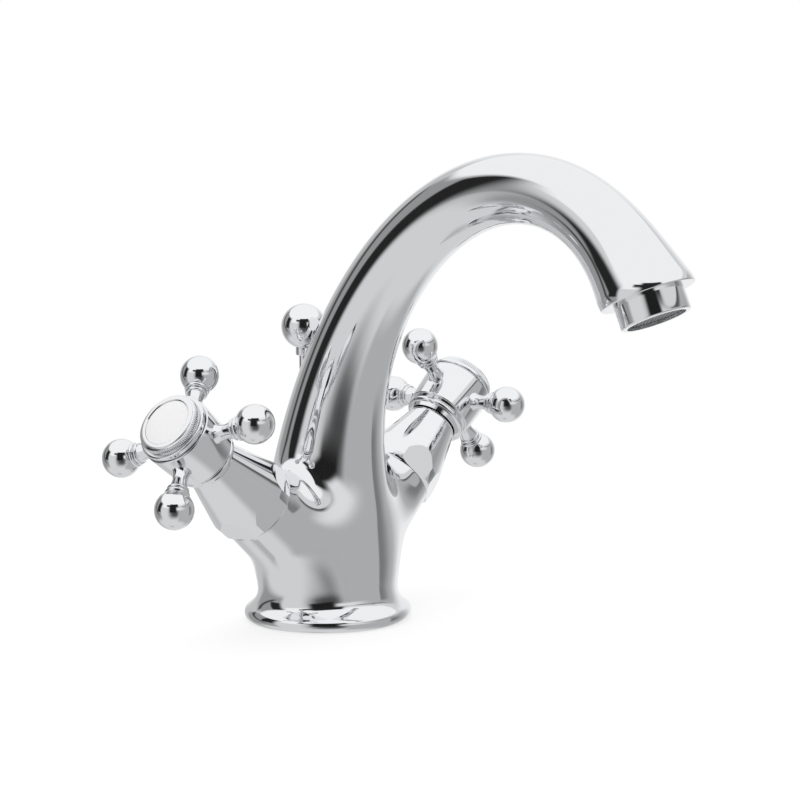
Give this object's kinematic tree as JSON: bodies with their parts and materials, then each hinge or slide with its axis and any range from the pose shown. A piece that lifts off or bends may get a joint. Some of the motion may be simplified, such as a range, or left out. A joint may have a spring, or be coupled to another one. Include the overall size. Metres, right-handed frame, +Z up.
{
  "type": "basin mixer tap",
  "caption": "Deck-mounted two-handle basin mixer with a swan-neck spout, turned cross handles and a pop-up waste lift knob.",
  "frame": {"origin": "centre of the foot's underside, where the tap stands on the deck", "axes": "+Z up, the spout reaches toward -Y, the handles stand on -X (hot) and +X (cold)"},
  "size_m": [0.177, 0.1778, 0.1589],
  "materials": {
    "chrome_casting": "mirror-polished chrome plate on a brass casting",
    "chrome_turned": "mirror-polished chrome plate on turned brass",
    "raw_brass": "machined, unplated",
    "valve_ceramic": "lapped alumina ceramic",
    "white_enamel": "glossy white enamel, no marking",
    "white_nylon": "moulded",
    "white_acetal": "moulded",
    "steel_mesh": "woven stainless wire",
    "stainless_screw": "plain stainless",
    "fibre_washer": "pressed fibre",
    "black_rubber": "moulded"
  },
  "bodies": {
    "tap_body": {"body_casting": "chrome_casting", "base_gasket": "black_rubber", "rod_bush": "white_nylon", "aerator_housing": "chrome_turned", "aerator_insert": "white_acetal", "aerator_screen": "steel_mesh", "aerator_seal": "black_rubber", "hot_headwork_body": "raw_brass", "hot_headwork_washer": "fibre_washer", "hot_seat_seal": "black_rubber", "hot_fixed_disc": "valve_ceramic", "hot_bonnet": "chrome_turned", "cold_headwork_body": "raw_brass", "cold_headwork_washer": "fibre_washer", "cold_seat_seal": "black_rubber", "cold_fixed_disc": "valve_ceramic", "cold_bonnet": "chrome_turned"},
    "hot_handle": {"hot_moving_disc": "valve_ceramic", "hot_spindle": "raw_brass", "hot_spindle_oring": "black_rubber", "hot_handle_hub": "chrome_turned", "hot_handle_arms": "chrome_turned", "hot_handle_screw": "stainless_screw", "hot_cap_ring": "chrome_turned", "hot_index_disc": "white_enamel"},
    "cold_handle": {"cold_moving_disc": "valve_ceramic", "cold_spindle": "raw_brass", "cold_spindle_oring": "black_rubber", "cold_handle_hub": "chrome_turned", "cold_handle_arms": "chrome_turned", "cold_handle_screw": "stainless_screw", "cold_cap_ring": "chrome_turned", "cold_index_disc": "white_enamel"},
    "waste_lift": {"lift_rod": "chrome_turned", "lift_knob": "chrome_turned"}
  },
  "joints": [
    {"name": "hot_handle_turn", "type": "hinge", "parent": "tap_body", "child": "hot_handle", "pos_m": [-0.06642, 0, 0.06792], "axis": [-0.7833, 0, 0.6217], "range_deg": [0, 90]},
    {"name": "cold_handle_turn", "type": "hinge", "parent": "tap_body", "child": "cold_handle", "pos_m": [0.06642, 0, 0.06792], "axis": [0.7833, 0, 0.6217], "range_deg": [-90, 0]},
    {"name": "waste_lift_slide", "type": "slide", "parent": "tap_body", "child": "waste_lift", "axis": [0, 0, 1], "range_m": [0, 0.03]}
  ]
}
